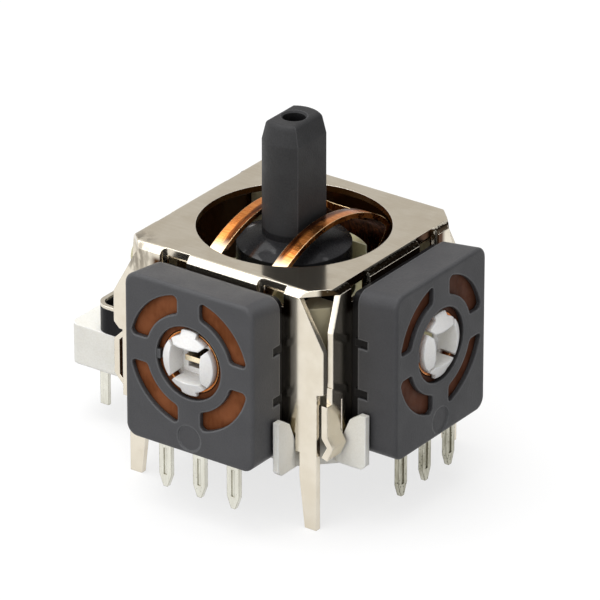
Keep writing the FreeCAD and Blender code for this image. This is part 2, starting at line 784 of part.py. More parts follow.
def build_terminal(place):
    half = terminal_width / 2
    tip_half = terminal_tip_width / 2
    taper_top = pin_tip + terminal_taper
    head_height = pot_bottom + terminal_head_rise
    outline = [(place - half, head_height), (place - half, taper_top), (place - tip_half, pin_tip),
               (place + tip_half, pin_tip), (place + half, taper_top), (place + half, head_height)]
    blade = prism(outline, "y", -terminal_front, -terminal_back)
    head = rod_y(terminal_head_radius, -terminal_front, -terminal_back, head_height, place)
    rivet = rod_y(terminal_rivet_radius, -track_front, -terminal_back, head_height, place)
    groove = block((place - terminal_groove_width / 2, place + terminal_groove_width / 2),
                   (-terminal_front - beyond, -terminal_front + terminal_groove_depth),
                   (taper_top, terminal_groove_top))
    return blade.fuse([head, rivet]).cut(groove)


def build_hub():
    # It narrows to its tip, and two hooks on it hold the track plate's rim.
    half = rotor_hook_half_width
    hooks = block((-half, half), (-hub_front, -hook_back),
                  (pivot_height - hook_radius, pivot_height + hook_radius))
    blank = rod_y(hub_radius, -hub_front, -flange_front).fuse(hooks)
    tip = Part.makeCone(hook_radius, rotor_socket_half + rotor_tip_wall, rotor_tip_height,
                        Vector(0, -hub_tip_start, pivot_height), Vector(0, -1, 0))
    return blank.common(rod_y(hook_radius, -hub_tip_start, -flange_front).fuse(tip))


def build_rotor():
    rotor = rod_y(rotor_boss_radius, -flange_back, -boss_back)
    rotor = rotor.fuse([rod_y(flange_radius, -flange_front, -flange_back), build_hub()])
    half = rotor_socket_half
    socket_height = (pivot_height - half, pivot_height + half)
    rotor = rotor.cut(block((-half, half), (-hub_front - beyond, -socket_back), socket_height))
    drive = drive_half + running_clearance
    drive_height = (pivot_height - drive, pivot_height + drive)
    rotor = rotor.cut(block((-drive, drive), (-hub_front, -boss_back + beyond), drive_height))
    reach = hub_radius + beyond
    for angle in (45, 135):
        slit = block((-reach, reach), (-hub_front - beyond, -hub_front + rotor_slit_depth),
                     (-rotor_slit_width / 2, rotor_slit_width / 2))
        slit.rotate(Vector(0, 0, 0), Vector(0, 1, 0), angle)
        slit.translate(Vector(0, 0, pivot_height))
        rotor = rotor.cut(slit)
    return rotor


def build_wiper():
    # A spring ring on the rotor's flange, with a collar round the hub and two contact arms
    wiper = rod_y(wiper_radius, -wiper_back - wiper_sheet, -wiper_back)
    wiper = wiper.fuse(rod_y(wiper_collar_radius, -collar_front, -wiper_back))
    contact_front = track_back - fitting_clearance
    half = wiper_arm_width / 2
    for side in (-1, 1):
        middle = side * (wiper_radius - wiper_arm_inset)
        arm = block((middle - half, middle + half), (-contact_front, -wiper_back),
                    (pivot_height - wiper_arm_width, pivot_height + wiper_arm_width))
        wiper = wiper.fuse(arm)
    return wiper.cut(rod_y(wiper_bore, -collar_front - beyond, -wiper_back + beyond))


def rounded_block(x_range, z_range, radius):
    # A block as wide as the switch, with its two outer corners rounded
    body = block(x_range, (-switch_half_width, switch_half_width), z_range)
    upright = straight_edges(body, Vector(0, 0, 1))
    outer = [edge for edge in upright if edge.Vertexes[0].X < x_range[0] + 1e-6]
    return body.makeFillet(radius, outer)


def switch_blade(side, clearance):
    half_x = blade_width / 2 + clearance
    half_y = blade_thickness / 2 + clearance
    x = plunger_x - blade_offset
    y = side * (switch_half_width - blade_edge)
    return block((x - half_x, x + half_x), (y - half_y, y + half_y), (pin_tip, blade_top + clearance))


def build_switch_housing():
    housing = rounded_block((plunger_x - housing_reach, -frame_half), (0, housing_height), switch_round)
    pocket = plunger_block(plunger_flange_width + pocket_clearance, (pocket_floor, housing_height + beyond))
    housing = housing.cut(pocket)
    for side in (-1, 1):
        housing = housing.cut(switch_blade(side, fitting_clearance))
    return housing


def plunger_block(margin, z_range):
    # A block round the plunger's stem, wider than it by a margin on each side
    half_x = plunger_half_x + margin
    half_y = plunger_half_y + margin
    return block((plunger_x - half_x, plunger_x + half_x), (-half_y, half_y), z_range)


def switch_recess(z_range):
    half_y = switch_half_width - cover_wall
    recess = block((cover_x[0] + cover_wall, cover_x[1] - cover_wall), (-half_y, half_y), z_range)
    upright = straight_edges(recess, Vector(0, 0, 1))
    outer = [edge for edge in upright if edge.Vertexes[0].X < plunger_x]
    return recess.makeFillet(cover_round - cover_wall, outer)


def build_switch_cover():
    cover = rounded_block(cover_x, (housing_height, cover_top), cover_round)
    cover = cover.cut(switch_recess((housing_height + cover_floor, cover_top + beyond)))
    return cover.cut(plunger_block(plunger_clearance, (0, cover_top + beyond)))


def build_switch_strap():
    # A thin metal rim on top of the switch cover's wall
    strap_top = cover_top + strap_thickness
    strap = rounded_block(cover_x, (cover_top, strap_top), cover_round)
    return strap.cut(switch_recess((cover_top - beyond, strap_top + beyond)))


def build_plunger():
    top = arm_underside - running_clearance
    stem = plunger_block(0.0, (plunger_bottom, top))
    stem = stem.makeFillet(plunger_round, top_edges(stem, top))
    flange_top = plunger_bottom + plunger_flange_thickness
    return stem.fuse(plunger_block(plunger_flange_width, (plunger_bottom, flange_top)))


def build_snap_dome():
    # A shallow cap of spring sheet with its rim on the pocket's floor
    rim = pocket_floor + running_clearance
    reach = plunger_half_x + plunger_flange_width + pocket_clearance - dome_inset
    radius = (reach ** 2 + dome_rise ** 2) / (2 * dome_rise)
    centre = Vector(plunger_x, 0, rim + dome_rise - radius)
    cap = Part.makeSphere(radius, centre).cut(Part.makeSphere(radius - dome_sheet, centre))
    return cap.common(rod(reach, (plunger_x, 0, rim), (plunger_x, 0, rim + dome_rise)))


def save_pots():
    pieces = {"cover": build_pot_cover(), "back": build_pot_back(), "track_plate": build_track_plate(),
              "rotor": build_rotor(), "wiper": build_wiper()}
    for number, place in enumerate(terminal_places(), start=1):
        pieces["terminal_" + str(number)] = build_terminal(place)
    for letter, angle in (("a", 0), ("b", 90)):
        for name, shape in pieces.items():
            save(turned(shape, angle), "pot_" + letter + "_" + name)


def save_switch():
    save(build_switch_housing(), "switch_housing")
    save(build_switch_cover(), "switch_cover")
    save(build_switch_strap(), "switch_strap")
    save(build_plunger(), "switch_plunger")
    save(build_snap_dome(), "snap_dome")
    for number, side in enumerate((-1, 1), start=1):
        save(switch_blade(side, 0.0), "switch_terminal_" + str(number))


save(build_frame(), "frame_shell")
save(build_base(), "base")
save(build_stick(), "stick")
save(build_foot(), "centring_foot")
save(build_spring(), "return_spring")
save(build_arch(), "arch_rocker")
save(build_rocker(), "cross_rocker")
save_pots()
save_switch()
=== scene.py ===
"""Looks of a two-axis analog stick module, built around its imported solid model.

The solid nodes keep their shape, and each gets a procedural finish here. The two spring parts that
flex are replaced by finer pieces on the same bodies. Sizes are in millimetres, and turn into metres
where a mesh, a lamp or the camera is made.
"""

import logging
import math
from dataclasses import KW_ONLY, dataclass
from enum import Enum
from functools import reduce

import bpy
from mathutils import Matrix, Vector


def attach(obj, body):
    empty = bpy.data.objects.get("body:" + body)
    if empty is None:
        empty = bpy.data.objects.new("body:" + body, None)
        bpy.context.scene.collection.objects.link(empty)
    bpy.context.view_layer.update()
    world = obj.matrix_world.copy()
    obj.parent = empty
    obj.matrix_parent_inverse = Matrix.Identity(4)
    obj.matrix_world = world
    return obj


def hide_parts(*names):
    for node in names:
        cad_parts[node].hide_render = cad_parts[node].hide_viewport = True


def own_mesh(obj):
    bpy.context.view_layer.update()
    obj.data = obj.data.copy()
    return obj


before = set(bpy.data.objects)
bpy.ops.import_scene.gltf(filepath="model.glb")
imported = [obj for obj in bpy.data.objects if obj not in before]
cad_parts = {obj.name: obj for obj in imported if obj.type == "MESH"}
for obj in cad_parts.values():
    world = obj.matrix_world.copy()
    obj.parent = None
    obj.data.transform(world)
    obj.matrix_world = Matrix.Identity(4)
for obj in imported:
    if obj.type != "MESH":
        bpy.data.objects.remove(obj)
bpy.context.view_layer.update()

LOG = logging.getLogger("analog_stick")
MM = 0.001

Colour = tuple[float, float, float, float]
Triple = tuple[float, float, float]
Range = tuple[float, float]
Node = bpy.types.Node
Object = bpy.types.Object
Socket = bpy.types.NodeSocket
Tree = bpy.types.NodeTree


class Slot(Enum):
    """The record's material slots."""

    NICKEL_STEEL = "nickel_steel"
    WHITE_PLASTIC = "white_plastic"
    STICK_GREY = "stick_grey"
    COPPER_ALLOY = "copper_alloy"
    CREAM_PLASTIC = "cream_plastic"
    GREY_PLASTIC = "grey_plastic"
    BLACK_PLASTIC = "black_plastic"
    PHENOLIC = "phenolic"
    ROTOR_WHITE = "rotor_white"
    WIPER_COPPER = "wiper_copper"
    TINNED_TERMINAL = "tinned_terminal"
    SPRING_STEEL = "spring_steel"


def shade(red: float, green: float, blue: float) -> Colour:
    """Turns a display colour into the linear colour that a shader takes.

    Args:
        red, green, blue: display values from 0 to 255.

    Returns:
        The linear colour with full alpha.
    """
    knee = 0.04045
    linear = []
    for part in (red / 255, green / 255, blue / 255):
        linear.append(part / 12.92 if part <= knee else ((part + 0.055) / 1.055) ** 2.4)
    return (linear[0], linear[1], linear[2], 1.0)


class Graph:
    """Wires one node tree, with short calls for the nodes that the finishes share."""

    MIX_LOW = 6
    MIX_HIGH = 7
    MIX_RESULT = 2

    def __init__(self, tree: Tree) -> None:
        """Takes the tree to wire."""
        self.tree = tree

    def feed(self, socket: Socket, value: object) -> None:
        """Links a socket into this one, or sets a plain value on it.

        Args:
            socket: the input to feed.
            value: another node's output, or a number, vector or colour.
        """
        if isinstance(value, bpy.types.NodeSocket):
            self.tree.links.new(value, socket)
        else:
            socket.default_value = value

    def node(self, kind: str, inputs: dict[str | int, object] | None = None, **settings: object) -> Node:
        """Adds a node.

        Args:
            kind: the node's type name.
            inputs: a value or a socket for each input, by the input's name or place.
            settings: the node's own properties.

        Returns:
            The new node.
        """
        made = self.tree.nodes.new(kind)
        for name, value in settings.items():
            setattr(made, name, value)
        self.fill(made, inputs or {})
        return made

    def fill(self, node: Node, values: dict[str | int, object]) -> None:
        """Feeds a value or a socket into each of a node's inputs, by the input's name or place."""
        for name, value in values.items():
            self.feed(node.inputs[name], value)

    def math(self, operation: str, first: object, second: object = 0.0, clamp: bool = False) -> Socket:
        """One step of arithmetic, as a Math node's output."""
        inputs = {0: first, 1: second}
        return self.node("ShaderNodeMath", inputs, operation=operation, use_clamp=clamp).outputs[0]

    def vector(self, operation: str, first: object, second: object) -> Node:
        """One step of vector arithmetic, as its node."""
        return self.node("ShaderNodeVectorMath", {0: first, 1: second}, operation=operation)

    def product(self, *factors: object) -> Socket:
        """All the factors multiplied together."""
        return reduce(lambda first, second: self.math("MULTIPLY", first, second), factors)

    def larger(self, first: object, second: object) -> Socket:
        """The larger of two values."""
        return self.math("MAXIMUM", first, second)

    def mix(self, factor: object, low: object, high: object) -> Socket:
        """Blends two colours by a factor."""
        inputs = {0: factor, self.MIX_LOW: low, self.MIX_HIGH: high}
        return self.node("ShaderNodeMix", inputs, data_type="RGBA").outputs[self.MIX_RESULT]

    def spread(self, factor: object, low: object, high: object, start: object, end: object) -> Socket:
        """Maps a value that runs from start to end to one from low to high, with soft ends."""
        inputs = {"Value": factor, "From Min": start, "From Max": end, "To Min": low, "To Max": high}
        return self.node("ShaderNodeMapRange", inputs, interpolation_type="SMOOTHSTEP").outputs[0]

    def rise(self, value: object, span: tuple[object, object]) -> Socket:
        """0 before the span and 1 past it, with soft ends."""
        return self.spread(value, 0.0, 1.0, *span)

    def fall(self, value: object, span: tuple[object, object]) -> Socket:
        """1 before the span and 0 past it, with soft ends."""
        return self.spread(value, 1.0, 0.0, *span)

    def noise(self, place: Socket, scale: object, detail: float = 3.0) -> Socket:
        """Soft noise from 0 to 1 at a place in millimetres."""
        inputs = {"Vector": place, "Scale": scale, "Detail": detail}
        return self.node("ShaderNodeTexNoise", inputs).outputs["Fac"]

    def stretched(self, place: Socket, stretch: object) -> Socket:
        """A place multiplied along each axis, so that a pattern draws out into lines."""
        return self.vector("MULTIPLY", place, stretch).outputs[0]

    def place_mm(self) -> Socket:
        """The place on the object in millimetres, in the part's own frame."""
        here = self.node("ShaderNodeTexCoord").outputs["Object"]
        return self.stretched(here, (1 / MM, 1 / MM, 1 / MM))

    def axes(self, place: Socket) -> tuple[Socket, Socket, Socket]:
        """The three coordinates of a place."""
        made = self.node("ShaderNodeSeparateXYZ", {"Vector": place})
        return made.outputs[0], made.outputs[1], made.outputs[2]

    def facing(self) -> tuple[Socket, Socket, Socket]:
        """Which way the surface faces in the part's own frame, along each axis from -1 to 1."""
        return self.axes(self.node("ShaderNodeTexCoord").outputs["Normal"])


class SharedEffects:
    """Node groups that several finishes use. Each is built once, when it is first asked for."""

    FLOAT = "NodeSocketFloat"
    VECTOR = "NodeSocketVector"
    COLOR = "NodeSocketColor"
    SAMPLES = 6
    DRIFT_SCALE = 0.45
    DRIFT_SPAN = (0.35, 0.65)
    PIT_SPAN = (0.3, 0.7)
    EDGE_SPAN = (0.93, 0.998)
    LINE_SPAN = (0.3, 0.7)
    PATCH_SPAN = (0.32, 0.68)
    SPECK_CLOUD_SCALE = 1.3
    SPECK_FADE = 0.12

    def __init__(self) -> None:
        """Starts with no group built."""
        self.groups: dict[str, Tree] = {}

    def use(self, graph: Graph, name: str, **values: object) -> dict[str, Socket]:
        """Places a group in a material.

        Args:
            graph: the material's graph.
            name: one of the build methods' names, without "build_".
            values: each input's value or socket, with _ for the spaces in its name.

        Returns:
            The group's outputs by name, which feed the shader.
        """
        if name not in self.groups:
            self.groups[name] = getattr(self, "build_" + name)()
        made = graph.node("ShaderNodeGroup", node_tree=self.groups[name])
        for key, value in values.items():
            graph.feed(made.inputs[key.replace("_", " ").title()], value)
        return dict(made.outputs.items())

    @staticmethod
    def start(name: str, inputs: dict[str, str], outputs: dict[str, str]) -> tuple[Graph, Node, Node]:
        """Makes an empty group with its sockets.

        Args:
            name: the group's name.
            inputs: socket types by name.
            outputs: socket types by name.

        Returns:
            The group's graph, its input node and its output node.
        """
        tree = bpy.data.node_groups.new(name, "ShaderNodeTree")
        for label, kind in inputs.items():
            tree.interface.new_socket(name=label, in_out="INPUT", socket_type=kind)
        for label, kind in outputs.items():
            tree.interface.new_socket(name=label, in_out="OUTPUT", socket_type=kind)
        graph = Graph(tree)
        return graph, tree.nodes.new("NodeGroupInput"), tree.nodes.new("NodeGroupOutput")

    def build_moulded_skin(self) -> Tree:
        """The fine pitted skin of a moulded plastic, with a slow drift in its shade and gloss.

        Returns:
            The group's tree.
        """
        graph, given, result = self.start(
            "moulded_skin",
            {"Place": self.VECTOR, "Colour": self.COLOR, "Drift Colour": self.COLOR, "Grains": self.FLOAT,
             "Roughness": self.FLOAT, "Roughness Spread": self.FLOAT},
            {"Colour": self.COLOR, "Roughness": self.FLOAT, "Height": self.FLOAT})
        place = given.outputs["Place"]
        fine = graph.noise(place, given.outputs["Grains"])
        broad = graph.rise(graph.noise(place, self.DRIFT_SCALE), self.DRIFT_SPAN)
        pits = graph.rise(fine, self.PIT_SPAN)
        drift = graph.product(graph.math("ADD", broad, pits), 0.5)
        colour = graph.mix(drift, given.outputs["Colour"], given.outputs["Drift Colour"])
        wander = graph.product(graph.math("SUBTRACT", drift, 0.5), given.outputs["Roughness Spread"])
        roughness = graph.math("ADD", given.outputs["Roughness"], wander, clamp=True)
        graph.fill(result, {"Colour": colour, "Roughness": roughness, "Height": pits})
        return graph.tree

    def build_soft_edge(self) -> Tree:
        """A rounded normal along sharp edges, and a mask of those edges.

        Returns:
            The group's tree.
        """
        graph, given, result = self.start(
            "soft_edge", {"Radius": self.FLOAT}, {"Normal": self.VECTOR, "Edge": self.FLOAT})
        radius = given.outputs["Radius"]
        rounded = graph.node("ShaderNodeBevel", {"Radius": radius}, samples=self.SAMPLES).outputs["Normal"]
        plain = graph.node("ShaderNodeNewGeometry").outputs["Normal"]
        turned = graph.vector("DOT_PRODUCT", rounded, plain).outputs["Value"]
        edge = graph.fall(turned, self.EDGE_SPAN)
        graph.fill(result, {"Normal": rounded, "Edge": edge})
        return graph.tree

    def build_rolled_lines(self) -> Tree:
        """The drawn-out lines and cloudy patches of rolled sheet metal.

        Returns:
            The group's tree.
        """
        graph, given, result = self.start(
            "rolled_lines",
            {"Place": self.VECTOR, "Stretch": self.VECTOR, "Patch Size": self.FLOAT},
            {"Lines": self.FLOAT, "Patches": self.FLOAT, "Height": self.FLOAT})
        place = given.outputs["Place"]
        lines = graph.noise(graph.stretched(place, given.outputs["Stretch"]), 1.0, 4.0)
        patches = graph.noise(place, given.outputs["Patch Size"], 4.0)
        graph.fill(result, {
            "Lines": graph.rise(lines, self.LINE_SPAN),
            "Patches": graph.rise(patches, self.PATCH_SPAN), "Height": lines})
        return graph.tree

    def build_specks(self) -> Tree:
        """Small scattered specks, denser where the cloudy noise is high.

        Returns:
            The group's tree.
        """
        graph, given, result = self.start(
            "specks",
            {"Place": self.VECTOR, "Scale": self.FLOAT, "Amount": self.FLOAT},
            {"Mask": self.FLOAT})
        place = given.outputs["Place"]
        cells = graph.node("ShaderNodeTexVoronoi", {"Vector": place, "Scale": given.outputs["Scale"]})
        reach = graph.product(graph.noise(place, self.SPECK_CLOUD_SCALE), given.outputs["Amount"])
        near = graph.math("SUBTRACT", reach, cells.outputs["Distance"])
        graph.fill(result, {"Mask": graph.rise(near, (0.0, self.SPECK_FADE))})
        return graph.tree

    def build_painted_shade(self) -> Tree:
        """A mask of the places that little light reaches, such as slots and the frame's inside, for painted
        shade.

        Returns:
            The group's tree.
        """
        graph, given, result = self.start(
            "painted_shade",
            {"Distance": self.FLOAT, "Closed": self.FLOAT, "Open": self.FLOAT},
            {"Mask": self.FLOAT})
        reach = given.outputs["Distance"]
        sky = graph.node("ShaderNodeAmbientOcclusion", {"Distance": reach}, samples=self.SAMPLES)
        mask = graph.fall(sky.outputs["AO"], (given.outputs["Closed"], given.outputs["Open"]))
        graph.fill(result, {"Mask": mask})
        return graph.tree

    def build_band(self) -> Tree:
        """A mask that is 1 between two values and fades out over a softness at each end.

        Returns:
            The group's tree.
        """
        graph, given, result = self.start(
            "band",
            {"Value": self.FLOAT, "Low": self.FLOAT, "High": self.FLOAT, "Softness": self.FLOAT},
            {"Mask": self.FLOAT})
        value, low, high, soft = (given.outputs[key] for key in ("Value", "Low", "High", "Softness"))
        rise = graph.rise(value, (graph.math("SUBTRACT", low, soft), low))
        fall = graph.fall(value, (high, graph.math("ADD", high, soft)))
        graph.fill(result, {"Mask": graph.product(rise, fall)})
        return graph.tree


EFFECTS = SharedEffects()


@dataclass(frozen=True)
class Finish:
    """What every finish has: a name, a slot of the record, and a shader that it wires in its own way."""

    name: str
    slot: Slot
    _: KW_ONLY
    relief: float = 0.004
    edge_radius: float = 0.1
    recess_reach: float = 1.6
    recess_span: Range = (0.1, 0.5)

    def dress(self, piece: Object) -> None:
        """Gives the piece this finish in place of what it had."""
        piece.data.materials.clear()
        piece.data.materials.append(self.material())

    def material(self) -> bpy.types.Material:
        """Makes the finish's material on its first use.

        Returns:
            The material.
        """
        made = bpy.data.materials.get(self.name)
        if made is None:
            made = bpy.data.materials.new(self.name)
            made.use_nodes = True
            self.wire(Graph(made.node_tree), made.node_tree.nodes["Principled BSDF"])
        return made

    def wire(self, graph: Graph, shader: Node) -> None:
        """Wires the shader; each kind of finish has its own."""
        raise NotImplementedError

    def soft_edge(self, graph: Graph) -> dict[str, Socket]:
        """The rounded normal and the mask of the finish's edges."""
        return EFFECTS.use(graph, "soft_edge", radius=self.edge_radius * MM)

    def painted_shade(self, graph: Graph) -> Socket:
        """The mask of the finish's recesses, where its colour takes painted shade."""
        closed, open_sky = self.recess_span
        reach = self.recess_reach * MM
        return EFFECTS.use(graph, "painted_shade", distance=reach, closed=closed, open=open_sky)["Mask"]

    def raised(self, graph: Graph, height: Socket, normal: Socket | None = None) -> Socket:
        """Lets a height show as the finish's relief.

        Args:
            graph: the material's graph.
            height: the height, where 1 stands for the whole relief.
            normal: the normal that the relief stands on, where it isn't the mesh's own.

        Returns:
            The normal for the shader.
        """
        inputs = {"Strength": 1.0, "Distance": self.relief * MM, "Height": height}
        if normal is not None:
            inputs["Normal"] = normal
        return graph.node("ShaderNodeBump", inputs).outputs["Normal"]


@dataclass(frozen=True)
class MouldedPlastic(Finish):
    """A moulded plastic with a pitted skin, softly rounded edges with a painted highlight, and painted shade
    in its recesses.

    Above a set height in millimetres, it also darkens towards its shade colour, as painted shade.
    """

    colour: Colour
    drift: Colour
    # Painted highlight along the edges.
    edge_lighting: Colour
    # Painted shade in recesses and above the set height.
    painted_shade_colour: Colour
    _: KW_ONLY
    relief: float = 0.006
    edge_radius: float = 0.12
    recess_span: Range = (0.12, 0.5)
    roughness: float = 0.42
    roughness_spread: float = 0.12
    grains: float = 9.0
    specular: float = 0.2
    glow_depth: float = 0.0
    glow_weight: float = 0.15
    glow_radius: Triple = (1.0, 0.9, 0.75)
    shade_from_height: float = 50.0
    shade_height_span: float = 5.0
    shade_height_share: float = 0.8

    def wire(self, graph: Graph, shader: Node) -> None:
        """Wires the skin, the painted highlight of the edges and the painted shade of the recesses into the
        shader.

        Args:
            graph: the material's graph.
            shader: its shader.
        """
        place = graph.place_mm()
        skin = EFFECTS.use(graph, "moulded_skin", place=place, colour=self.colour,
                           drift_colour=self.drift, grains=self.grains, roughness=self.roughness,
                           roughness_spread=self.roughness_spread)
        edge = self.soft_edge(graph)
        # Painted highlight: the edges turn paler.
        colour = graph.mix(edge["Edge"], skin["Colour"], self.edge_lighting)
        # Painted shade: recesses, and all above the set height, darken towards the shade colour.
        height = graph.axes(place)[2]
        shade_to_height = self.shade_from_height + self.shade_height_span
        shaded_high = graph.spread(height, 0.0, self.shade_height_share, self.shade_from_height, shade_to_height)
        shaded = graph.larger(self.painted_shade(graph), shaded_high)
        graph.fill(shader, {
            "Base Color": graph.mix(shaded, colour, self.painted_shade_colour), "Roughness": skin["Roughness"],
            "Specular IOR Level": self.specular,
            "Normal": self.raised(graph, skin["Height"], edge["Normal"])})
        if self.glow_depth:
            graph.fill(shader, {
                "Subsurface Weight": self.glow_weight, "Subsurface Radius": self.glow_radius,
                "Subsurface Scale": self.glow_depth * MM})


@dataclass(frozen=True)
class RolledMetal(Finish):
    """Small metal parts with rolling lines, cloudy patches and specks, painted light along the edges and
    painted shade in recesses.
    """

    colour: Colour
    dull: Colour
    # Painted light along the edges: a highlight on most metals, a dark outline on the terminals.
    edge_lighting: Colour
    painted_shade_colour: Colour
    stretch: Triple
    _: KW_ONLY
    relief: float = 0.003
    edge_radius: float = 0.06
    recess_reach: float = 1.5
    roughness: float = 0.28
    dull_roughness: float = 0.4
    patch_size: float = 0.5
    specks: float = 0.0
    speck_scale: float = 5.0
    speck_colour: Colour = (0.05, 0.045, 0.035, 1.0)

    def wire(self, graph: Graph, shader: Node) -> None:
        """Wires the lines, patches and specks, the painted light of the edges and the painted shade of
        recesses into the shader.

        Args:
            graph: the material's graph.
            shader: its shader.
        """
        place = graph.place_mm()
        sheet = EFFECTS.use(graph, "rolled_lines", place=place, stretch=self.stretch,
                            patch_size=self.patch_size)
        edge = self.soft_edge(graph)
        wear = graph.product(graph.math("ADD", sheet["Lines"], sheet["Patches"]), 0.5)
        colour = graph.mix(wear, self.colour, self.dull)
        if self.specks:
            marks = EFFECTS.use(graph, "specks", place=place, scale=self.speck_scale, amount=self.specks)
            colour = graph.mix(marks["Mask"], colour, self.speck_colour)
        # Painted light along the edges.
        colour = graph.mix(edge["Edge"], colour, self.edge_lighting)
        # Painted shade in recesses.
        graph.fill(shader, {
            "Base Color": graph.mix(self.painted_shade(graph), colour, self.painted_shade_colour), "Metallic": 1.0,
            "Roughness": graph.spread(wear, self.roughness, self.dull_roughness, 0.0, 1.0),
            "Normal": self.raised(graph, sheet["Height"], edge["Normal"])})


@dataclass(frozen=True)
class NickelSheet(Finish):
    """Nickel-plated sheet: a mirror on the plate, satin on the walls, a painted dark reflection on one bend,
    painted shade inside.
    """

    colour: Colour
    cloudy: Colour
    # Painted highlight along the edges.
    edge_lighting: Colour
    # Painted shade: the colour of the frame's inside, its recesses and the strips behind the covers.
    inside: Colour
    # A painted dark reflection on the bend, and a stain with a painted dark reflection at the left corner.
    dark_reflection_and_stain: Colour
    _: KW_ONLY
    relief: float = 1.0
    edge_radius: float = 0.07
    recess_reach: float = 1.0
    recess_span: Range = (0.1, 0.45)
    recess_share: float = 0.75
    stretch: Triple = (0.5, 6.0, 6.0)
    patch_size: float = 0.7
    line_share: float = 0.16
    patch_share: float = 0.34
    plate_roughness: float = 0.1
    wall_roughness: float = 0.2
    cloud_roughness: float = 0.07
    inside_metallic: float = 0.45
    plate_facing: Range = (0.8, 0.96)
    inward_span: Range = (-4.0, -1.0)
    underside_facing: Range = (-0.9, -0.5)
    legs_below: float = 2.0
    plate_level: float = 11.2
    bend_rise: float = 0.15
    bend_half_length: float = 6.5
    bend_end: float = 0.3
    bend_facing: Range = (0.62, 0.9)
    bend_softness: float = 0.12
    curve_facing: Range = (0.95, 0.99)
    grit_scale: float = 5.5
    grit_share: float = 0.7
    wall_facing: Range = (0.85, 0.97)
    cover_half_width: float = 4.9
    cover_end: float = 0.5
    strip_low: float = 10.4
    strip_extra: float = 1.0
    strip_softness: float = 0.4
    corner: Triple = (-6.7, -7.4, 11.2)
    corner_span: Range = (0.7, 2.0)
    crease_stretch: Triple = (2.2, 2.2, 0.9)
    crease_scale: float = 1.2
    crease_span: Range = (0.36, 0.6)
    crease_share: float = 0.6
    bow_from: float = 5.0
    bow_rate: float = 0.3
    line_relief: float = 0.0012

    def wire(self, graph: Graph, shader: Node) -> None:
        """Wires the plate, the walls, the painted dark reflection, the stain and the painted shade inside
        into the shader.

        Args:
            graph: the material's graph.
            shader: its shader.
        """
        place = graph.place_mm()
        flat = graph.rise(graph.facing()[2], self.plate_facing)
        inside_shade_mask = self.inner_faces(graph, place)
        sheet = EFFECTS.use(graph, "rolled_lines", place=place, stretch=self.stretch,
                            patch_size=self.patch_size)
        edge = self.soft_edge(graph)
        cloud = graph.math("ADD", graph.product(sheet["Lines"], flat, self.line_share),
                           graph.product(sheet["Patches"], self.patch_share))
        colour = graph.mix(cloud, self.colour, self.cloudy)
        # Painted highlight along the edges.
        colour = graph.mix(edge["Edge"], colour, self.edge_lighting)
        # Painted dark reflection on the bend above potentiometer B, and brown creases with a painted dark
        # reflection at the left corner.
        colour = graph.mix(self.bend_dark_reflection(graph, place), colour, self.dark_reflection_and_stain)
        colour = graph.mix(self.corner_stain_and_reflection(graph, place), colour, self.dark_reflection_and_stain)
        # Painted shade: the inside, the recesses and the strips behind the covers darken to the inside
        # colour, and the inside loses some of its metal look.
        shaded = graph.larger(inside_shade_mask, graph.product(self.painted_shade(graph), self.recess_share))
        shaded = graph.larger(shaded, self.shade_behind_covers(graph, place))
        roughness = graph.spread(flat, self.wall_roughness, self.plate_roughness, 0.0, 1.0)
        lines = graph.product(sheet["Height"], self.line_relief)
        height_mm = graph.math("ADD", lines, self.bow(graph, place, flat))
        graph.fill(shader, {
            "Base Color": graph.mix(shaded, colour, self.inside),
            "Metallic": graph.spread(inside_shade_mask, 1.0, self.inside_metallic, 0.0, 1.0),
            "Roughness": graph.math("ADD", roughness, graph.product(cloud, self.cloud_roughness)),
            "Normal": self.raised(graph, height_mm, edge["Normal"])})

    def inner_faces(self, graph: Graph, place: Socket) -> Socket:
        """Painted shade on the frame's inside: faces turned to its middle or down, but not on the legs.

        Args:
            graph: the material's graph.
            place: the place in millimetres.

        Returns:
            The mask of those faces.
        """
        across, along, height = graph.axes(place)
        right, back, up = graph.facing()
        outward = graph.math("ADD", graph.product(right, across), graph.product(back, along))
        turned_in = graph.fall(outward, self.inward_span)
        turned_down = graph.fall(up, self.underside_facing)
        above_legs = graph.rise(height, (0.0, self.legs_below))
        return graph.product(graph.math("ADD", turned_in, turned_down, clamp=True), above_legs)

    def bow(self, graph: Graph, place: Socket, flat: Socket) -> Socket:
        """The slight bow of the walls near the front corner, which widens its bright strip.

        Args:
            graph: the material's graph.
            place: the place in millimetres.
            flat: the plate's mask.

        Returns:
            The bow's height in millimetres, 0 on the plate.
        """
        past = graph.larger(graph.math("SUBTRACT", graph.axes(place)[0], self.bow_from), 0.0)
        return graph.product(past, past, graph.math("SUBTRACT", flat, 1.0), self.bow_rate / 2)

    def bend_dark_reflection(self, graph: Graph, place: Socket) -> Socket:
        """A painted dark, speckled reflection along the bend above potentiometer B.

        Args:
            graph: the material's graph.
            place: the place in millimetres.

        Returns:
            The painted reflection's mask.
        """
        _, along, height = graph.axes(place)
        right = graph.facing()[0]
        grit = graph.math("SUBTRACT", graph.noise(place, self.grit_scale, 4.0), 0.5)
        turn = graph.math("ADD", right, graph.product(grit, self.grit_share))
        bend = EFFECTS.use(graph, "band", value=turn, low=self.bend_facing[0], high=self.bend_facing[1],
                           softness=self.bend_softness)
        curved = graph.fall(right, self.curve_facing)
        length = EFFECTS.use(graph, "band", value=along, low=-self.bend_half_length,
                             high=self.bend_half_length, softness=self.bend_end)
        above = graph.rise(height, (self.plate_level, self.plate_level + self.bend_rise))
        return graph.product(bend["Mask"], length["Mask"], above, curved)

